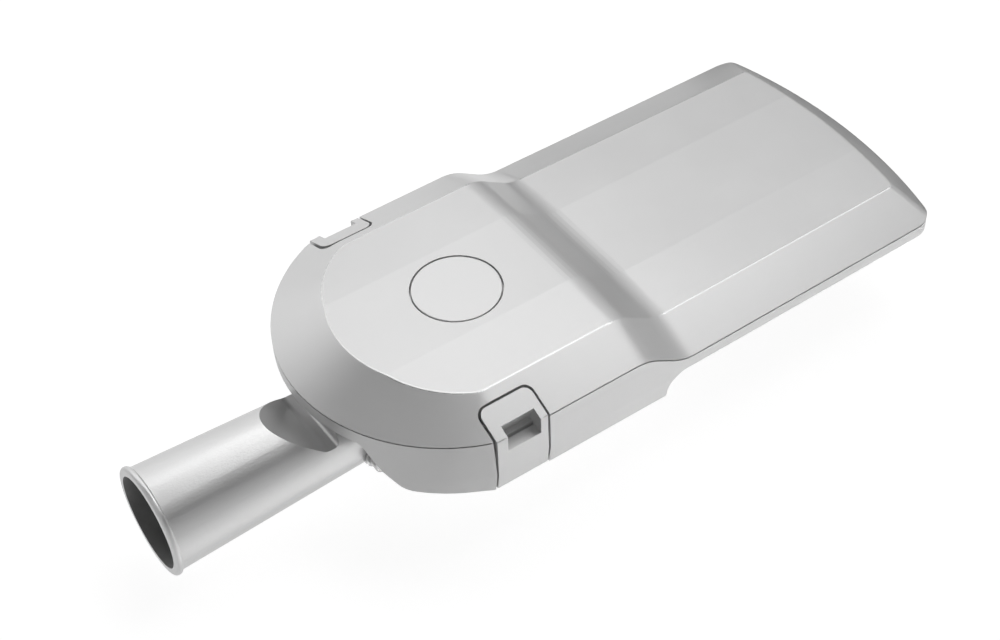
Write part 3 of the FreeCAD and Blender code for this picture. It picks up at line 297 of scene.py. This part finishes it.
skins = {}
for nodeName, spec in softEdges.items():
    skins[nodeName] = softened(nodeName, spec)
print("softened pieces:", len(skins))

# Painted highlight: the cover's rounded ridges get a lighter, glossier finish than the broad faces between
# them, so a bright line runs along them;
# they are the slightly tilted faces beside the two straight ridges, and all such faces round the nose
ridge = {"finish": paintedRidgeHighlight, "least": math.radians(4), "most": math.radians(19), "side": 0.0769,
         "reach": 0.006, "sideways": 3, "noseEnd": 0.19}


def besideRidge(face):
    near = abs(abs(face.center.y) - ridge["side"]) < ridge["reach"]
    return near and abs(face.normal.y) > ridge["sideways"] * abs(face.normal.x)


skin = skins["top_cover"]
skin.data.materials.append(ridge["finish"])
for face in skin.data.polygons:
    tilt = face.normal.angle(upward)
    if ridge["least"] < tilt < ridge["most"] and (besideRidge(face) or face.center.x < ridge["noseEnd"]):
        face.material_index = 1
print("ridges painted")

# The frame's wall draws up to each latch on the nose's side: its lower end comes nearer and turns out a
# little. Outer corners lie beyond a line from outerFrom with the slope outerRise, and the pin's seat stays
wallEnd = {
    "x": 0.17745, "near": 0.0002, "below": 0.0195, "inner": 0.0955, "closer": 0.0008,
    "flareFrom": 0.1715, "flareUpTo": 1.05, "flare": 0.0012, "outerFrom": 0.0985, "outerRise": 0.33,
    "pinLow": 0.003, "pinHigh": 0.009,
}
for corner in skins["lower_frame"].data.vertices:
    x, y, z = corner.co
    if z >= wallEnd["below"]:
        continue
    fromStart = x - wallEnd["flareFrom"]
    along = fromStart / (wallEnd["x"] - wallEnd["flareFrom"])
    outer = abs(y) > wallEnd["outerFrom"] + wallEnd["outerRise"] * fromStart
    besidePin = wallEnd["pinLow"] < z < wallEnd["pinHigh"]
    if outer and not besidePin and 0 < along < wallEnd["flareUpTo"]:
        corner.co.y += math.copysign(wallEnd["flare"] * along, y)
    if abs(y) > wallEnd["inner"] and abs(x - wallEnd["x"]) < wallEnd["near"]:
        corner.co.x += wallEnd["closer"]
print("wall ends drawn up")

# The spigot's bore faces get a duller finish, darker than the outside: painted shade inside the bore
bore = {"radius": 0.0309, "behindRim": 0.0006, "end": 0.122, "finish": paintedBoreShade}
skin = skins["spigot"]
skin.data.materials.append(bore["finish"])
for face in skin.data.polygons:
    out = math.hypot(face.center.y, face.center.z)
    inward = face.normal.y * face.center.y + face.normal.z * face.center.z < 0
    if out < bore["radius"] and bore["behindRim"] < face.center.x < bore["end"] and inward:
        face.material_index = 1
print("bore painted")


# Small details start from a primitive in edit mode, are repeated where they repeat, and ride their body
def startPiece(name):
    mesh = bpy.data.meshes.new(name)
    piece = bpy.data.objects.new(name, mesh)
    bpy.context.scene.collection.objects.link(piece)
    piece.select_set(True)
    bpy.context.view_layer.objects.active = piece
    bpy.ops.object.mode_set(mode="EDIT")
    return piece


# Picks the faces that look along a direction, from inside edit mode
def pickFaces(piece, direction, alike=0.95):
    bpy.ops.mesh.select_mode(type="FACE")
    bpy.ops.mesh.select_all(action="DESELECT")
    bpy.ops.object.mode_set(mode="OBJECT")
    for face in piece.data.polygons:
        face.select = face.normal.dot(Vector(direction)) > alike
    bpy.ops.object.mode_set(mode="EDIT")


def repeatAlong(piece, name, count, step):
    row = piece.modifiers.new(name, "ARRAY")
    row.use_relative_offset = False
    row.use_constant_offset = True
    row.constant_offset_displace = step
    row.count = count
    bpy.ops.object.modifier_apply(modifier=name)


def closePiece(piece, spec, smoothAngle=30.0):
    piece.data.materials.clear()
    piece.data.materials.append(spec["finish"])
    bpy.ops.object.shade_smooth_by_angle(angle=math.radians(smoothAngle))
    piece.select_set(False)
    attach(piece, spec["body"])
    print("made", spec["name"])


# Threads: a small triangle swept round its axis by the screw modifier, its ends filled
threads = [
    {"name": "glandThread", "body": "housing", "slot": "gland_plastic", "finish": glandBlack,
     "radius": 0.010, "height": 0.0005, "pitch": 0.0015, "turns": 1, "steps": 48,
     "place": (0.1681, 0.044, 0.022), "turn": (0, quarter, 0)},
    {"name": "plugThread", "body": "cover", "slot": "cap_plastic", "finish": capPlastic,
     "radius": 0.0186, "height": 0.0003, "pitch": 0.0011, "turns": 1, "steps": 48,
     "place": (0.2221, 0, 0.0503), "turn": (0, 0, 0)},
]
for spec in threads:
    piece = startPiece(spec["name"])
    bpy.ops.mesh.primitive_circle_add(vertices=3, radius=spec["height"], fill_type="NOTHING")
    bpy.ops.transform.rotate(value=quarter, orient_axis="X", center_override=(0, 0, 0))
    bpy.ops.transform.translate(value=(spec["radius"], 0, 0))
    bpy.ops.object.mode_set(mode="OBJECT")
    sweep = piece.modifiers.new("sweep", "SCREW")
    sweep.axis = "Z"
    sweep.screw_offset = spec["pitch"]
    sweep.iterations = spec["turns"]
    sweep.steps = spec["steps"]
    sweep.render_steps = spec["steps"]
    bpy.ops.object.modifier_apply(modifier="sweep")
    piece.rotation_euler = spec["turn"]
    piece.location = spec["place"]
    bpy.ops.object.transform_apply(location=True, rotation=True, scale=True)
    bpy.ops.object.mode_set(mode="EDIT")
    bpy.ops.mesh.select_all(action="SELECT")
    bpy.ops.mesh.edge_face_add()
    bpy.ops.mesh.fill_holes(sides=4)
    bpy.ops.mesh.normals_make_consistent(inside=False)
    bpy.ops.object.mode_set(mode="OBJECT")
    closePiece(piece, spec)

# Grip ribs round the gland's cap: one rib, bevelled, then spun round the cap's axis
gripRibs = {
    "name": "gripRibs", "body": "housing", "slot": "gland_plastic", "finish": glandBlack,
    "axisPoint": (0.1474, 0.044, 0.022), "axis": (1, 0, 0), "radius": 0.0120, "count": 20,
    "size": (0.0096, 0.0016, 0.0010), "bevel": 0.0003, "merge": 0.000002,
}
piece = startPiece(gripRibs["name"])
x, y, z = gripRibs["axisPoint"]
bpy.ops.mesh.primitive_cube_add(size=1, location=(x, y, z + gripRibs["radius"]))
bpy.ops.transform.resize(value=gripRibs["size"])
bpy.ops.mesh.bevel(offset=gripRibs["bevel"], segments=2)
bpy.ops.mesh.select_all(action="SELECT")
bpy.ops.mesh.spin(steps=gripRibs["count"], dupli=True, angle=2 * math.pi, center=gripRibs["axisPoint"],
                  axis=gripRibs["axis"])
bpy.ops.mesh.select_all(action="SELECT")
bpy.ops.mesh.remove_doubles(threshold=gripRibs["merge"])
bpy.ops.mesh.normals_make_consistent(inside=False)
bpy.ops.object.mode_set(mode="OBJECT")
closePiece(piece, gripRibs)

# Slotted screws in the terminal's ways: one screw with its slot cut by a boolean, then a row of them
wayScrews = {
    "name": "wayScrews", "body": "housing", "slot": "steel", "finish": steelFinish,
    "first": (0.181, -0.0224, 0.0222), "pitch": 0.0112, "ways": 5, "radius": 0.0026, "depth": 0.0036,
    "corners": 32, "slotWidth": 0.0008, "slotDepth": 0.0010, "bevel": 0.0003, "rounds": 3,
}
x, y, z = wayScrews["first"]
bpy.ops.mesh.primitive_cube_add(size=1)
cutter = bpy.context.active_object
cutter.scale = (wayScrews["radius"] * 3, wayScrews["slotWidth"], wayScrews["slotDepth"] * 2)
cutter.location = (x, y, z + wayScrews["depth"] / 2)
cutter.select_set(False)
piece = startPiece(wayScrews["name"])
bpy.ops.mesh.primitive_cylinder_add(vertices=wayScrews["corners"], radius=wayScrews["radius"],
                                    depth=wayScrews["depth"], location=wayScrews["first"])
pickFaces(piece, (0, 0, 1))
bpy.ops.mesh.bevel(offset=wayScrews["bevel"], segments=wayScrews["rounds"])
bpy.ops.object.mode_set(mode="OBJECT")
slotCut = piece.modifiers.new("slotCut", "BOOLEAN")
slotCut.operation = "DIFFERENCE"
slotCut.object = cutter
bpy.ops.object.modifier_apply(modifier="slotCut")
bpy.data.objects.remove(cutter)
repeatAlong(piece, "ways", wayScrews["ways"], (0, wayScrews["pitch"], 0))
closePiece(piece, wayScrews)

# Phosphor spots under the LED packages: one disc with a soft rim, then a grid of them;
# edge is how far the first spot's middle lies from the packages' outer edge
phosphor = {
    "name": "phosphorSpots", "body": "housing", "slot": "led_yellow", "finish": ledYellow, "columns": 8,
    "rows": 4, "radius": 0.00125, "depth": 0.00010, "corners": 24, "bevel": 0.00003, "rounds": 2,
    "edge": 0.00175,
}
ledLow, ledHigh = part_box("leds")
columnStep = (ledHigh.x - ledLow.x - 2 * phosphor["edge"]) / (phosphor["columns"] - 1)
rowStep = (ledHigh.y - ledLow.y - 2 * phosphor["edge"]) / (phosphor["rows"] - 1)
firstSpot = (ledLow.x + phosphor["edge"], ledLow.y + phosphor["edge"], ledLow.z - phosphor["depth"] / 2)
piece = startPiece(phosphor["name"])
bpy.ops.mesh.primitive_cylinder_add(vertices=phosphor["corners"], radius=phosphor["radius"],
                                    depth=phosphor["depth"], location=firstSpot)
pickFaces(piece, (0, 0, -1))
bpy.ops.mesh.bevel(offset=phosphor["bevel"], segments=phosphor["rounds"])
bpy.ops.object.mode_set(mode="OBJECT")
repeatAlong(piece, "columns", phosphor["columns"], (columnStep, 0, 0))
repeatAlong(piece, "rows", phosphor["rows"], (0, rowStep, 0))
closePiece(piece, phosphor)

# Ejector marks under the tray: a shallow disc with a sunk middle, then a grid of them
ejectorMarks = {
    "name": "ejectorMarks", "body": "housing", "slot": "painted_casting", "finish": castingPaint,
    "first": (0.190, -0.062, 0.0019), "step": (0.036, 0.062), "columns": 3, "rows": 3, "radius": 0.0042,
    "depth": 0.0003, "corners": 40, "rim": 0.0006, "sink": 0.00015,
}
piece = startPiece(ejectorMarks["name"])
bpy.ops.mesh.primitive_cylinder_add(vertices=ejectorMarks["corners"], radius=ejectorMarks["radius"],
                                    depth=ejectorMarks["depth"], location=ejectorMarks["first"])
pickFaces(piece, (0, 0, -1))
bpy.ops.mesh.inset(thickness=ejectorMarks["rim"])
bpy.ops.mesh.inset(thickness=ejectorMarks["sink"])
bpy.ops.transform.translate(value=(0, 0, ejectorMarks["sink"]))
bpy.ops.object.mode_set(mode="OBJECT")
repeatAlong(piece, "columns", ejectorMarks["columns"], (ejectorMarks["step"][0], 0, 0))
repeatAlong(piece, "rows", ejectorMarks["rows"], (0, ejectorMarks["step"][1], 0))
closePiece(piece, ejectorMarks)


# Stage helpers: mathNode works two values into one, mixShaders blends two shaders by a share
def mathNode(tree, operation, first, second):
    node = tree.nodes.new("ShaderNodeMath")
    node.operation = operation
    for socket, value in zip(node.inputs, (first, second)):
        if isinstance(value, float):
            socket.default_value = value
        else:
            tree.links.new(value, socket)
    return node.outputs[0]


def mixShaders(tree, share, first, second):
    blend = tree.nodes.new("ShaderNodeMixShader")
    tree.links.new(share, blend.inputs["Fac"])
    tree.links.new(first, blend.inputs[1])
    tree.links.new(second, blend.inputs[2])
    return blend.outputs[0]


# Camera, glossy and transmission rays all meet the white backdrop
def whiteRays(tree):
    path = tree.nodes.new("ShaderNodeLightPath")
    straight = mathNode(tree, "MAXIMUM", path.outputs["Is Camera Ray"], path.outputs["Is Transmission Ray"])
    return mathNode(tree, "MAXIMUM", straight, path.outputs["Is Glossy Ray"])


# The floor glows white where it is seen and still shows the shadow's share; from below it is clear,
# and it throws no shadow itself, so the sweep lamps under it reach the object
floorLook = {"place": (0.2, 0, -0.046), "reach": 6.0, "paint": (0.92, 0.92, 0.92), "white": 1.24,
             "shadow": 0.25}
bpy.ops.mesh.primitive_plane_add(size=floorLook["reach"], location=floorLook["place"])
floor = bpy.context.active_object
floor.name = "floor"
floorMaterial = bpy.data.materials.new("floorWhite")
floorMaterial.use_nodes = True
tree = floorMaterial.node_tree
tree.nodes.clear()
output = tree.nodes.new("ShaderNodeOutputMaterial")
matt = tree.nodes.new("ShaderNodeBsdfDiffuse")
matt.inputs["Color"].default_value = (*floorLook["paint"], 1)
glow = tree.nodes.new("ShaderNodeEmission")
glow.inputs["Strength"].default_value = floorLook["white"]
share = mathNode(tree, "MULTIPLY", whiteRays(tree), 1 - floorLook["shadow"])
topSide = mixShaders(tree, share, matt.outputs[0], glow.outputs[0])
facing = tree.nodes.new("ShaderNodeNewGeometry")
clear = tree.nodes.new("ShaderNodeBsdfTransparent")
bothSides = mixShaders(tree, facing.outputs["Backfacing"], topSide, clear.outputs[0])
tree.links.new(bothSides, output.inputs["Surface"])
floor.data.materials.append(floorMaterial)
floor.visible_shadow = False

# Soft panels round and above the head; the three sweeps stand below the floor, as light thrown back by it
stageCentre = Vector((0.25, 0, 0))
lamps = {
    "farPanel": {"place": (0.250, 1.342, 0.671), "size": 1.6, "power": 4.48},
    "farNosePanel": {"place": (-0.205, 1.212, 0.758), "size": 0.8, "power": 1.54},
    "farHighPanel": {"place": (0.879, 0.749, 1.138), "size": 0.8, "power": 1.22},
    "tipHighPanel": {"place": (1.003, -0.075, 1.295), "size": 0.8, "power": 4.33},
    "ridgePanel": {"place": (0.816, -0.217, 1.372), "size": 0.5, "power": 1.50},
    "topPanel": {"place": (0.554, 0.532, 1.369), "size": 0.8, "power": 3.96},
    "farTopPanel": {"place": (0.474, 1.121, 0.971), "size": 0.8, "power": 0.65},
    "sweepNear": {"place": (0.401, -1.055, -1.055), "size": 1.6, "power": 2.20},
    "sweepTip": {"place": (1.164, -0.914, -0.762), "size": 1.6, "power": 5.50},
    "sweepNose": {"place": (-1.114, -0.152, -0.606), "size": 1.6, "power": 1.80},
}
for name, lamp in lamps.items():
    data = bpy.data.lights.new(name, "AREA")
    data.shape = "SQUARE"
    data.size = lamp["size"]
    data.energy = lamp["power"]
    data.cycles.use_multiple_importance_sampling = lamp["place"][2] > floorLook["place"][2]
    item = bpy.data.objects.new(name, data)
    bpy.context.scene.collection.objects.link(item)
    item.location = lamp["place"]
    aim = stageCentre - item.location
    item.rotation_euler = aim.to_track_quat("-Z", "Y").to_euler()
print("lamps hung:", len(lamps))

# Dark cards of the studio: only reflections meet them, and they give paint and tube their darker bands
cards = {
    "tubeCard": {"toward": (0.30, -0.69, 0.65), "reach": 1.2, "size": (1.5, 0.53)},
    "noseCard": {"toward": (-0.25, 0.27, 0.93), "reach": 1.3, "size": (0.5, 0.9)},
    "stepCard": {"toward": (0.77, 0.62, 0.15), "reach": 1.5, "size": (1.7, 0.5)},
    "tipCard": {"toward": (0.993, 0.113, 0), "reach": 0.353, "size": (0.4, 0.046)},
}
cardLook = {"colour": (0.02, 0.02, 0.02), "specular": 0.0}
cardBlack, tree, shader = newMaterial("cardBlack")
shader.inputs["Base Color"].default_value = (*cardLook["colour"], 1)
shader.inputs["Specular IOR Level"].default_value = cardLook["specular"]
for name, card in cards.items():
    toward = Vector(card["toward"]).normalized()
    bpy.ops.mesh.primitive_plane_add(size=1)
    sheet = bpy.context.active_object
    sheet.name = name
    sheet.scale = (*card["size"], 1)
    sheet.location = stageCentre + toward * card["reach"]
    sheet.rotation_euler = toward.to_track_quat("Z", "Y").to_euler()
    sheet.data.materials.append(cardBlack)
    sheet.visible_camera = False
    sheet.visible_diffuse = False
    sheet.visible_transmission = False
    sheet.visible_shadow = False
    sheet.select_set(False)
print("cards set up:", len(cards))

# The world gives no light of its own: reflections find it a little under white, and the camera white
skyLevels = {"dim": 0.0, "reflected": 0.8, "seen": 1.0}
world = bpy.data.worlds.new("studio")
world.use_nodes = True
bpy.context.scene.world = world
tree = world.node_tree
tree.nodes.clear()
output = tree.nodes.new("ShaderNodeOutputWorld")
skies = {}
for name, level in skyLevels.items():
    sky = tree.nodes.new("ShaderNodeBackground")
    sky.inputs["Color"].default_value = (1, 1, 1, 1)
    sky.inputs["Strength"].default_value = level
    skies[name] = sky.outputs[0]
path = tree.nodes.new("ShaderNodeLightPath")
around = mixShaders(tree, whiteRays(tree), skies["dim"], skies["reflected"])
whole = mixShaders(tree, path.outputs["Is Camera Ray"], around, skies["seen"])
tree.links.new(whole, output.inputs["Surface"])

cameraFit = {
    "place": (-0.2029, -0.7141, 0.8848),
    "right": (0.82186, -0.56852, -0.03668),
    "up": (0.42879, 0.57491, 0.69688),
    "back": (-0.37509, -0.58845, 0.71626),
    "lens": 69.25,
    "sensor": 36.0,
}
cameraData = bpy.data.cameras.new("camera")
cameraData.lens = cameraFit["lens"]
cameraData.sensor_width = cameraFit["sensor"]
camera = bpy.data.objects.new("camera", cameraData)
bpy.context.scene.collection.objects.link(camera)
turn = Matrix((cameraFit["right"], cameraFit["up"], cameraFit["back"])).transposed().to_4x4()
camera.matrix_world = Matrix.Translation(Vector(cameraFit["place"])) @ turn
bpy.context.scene.camera = camera
bpy.context.scene.view_settings.view_transform = "Standard"
print("stage ready")
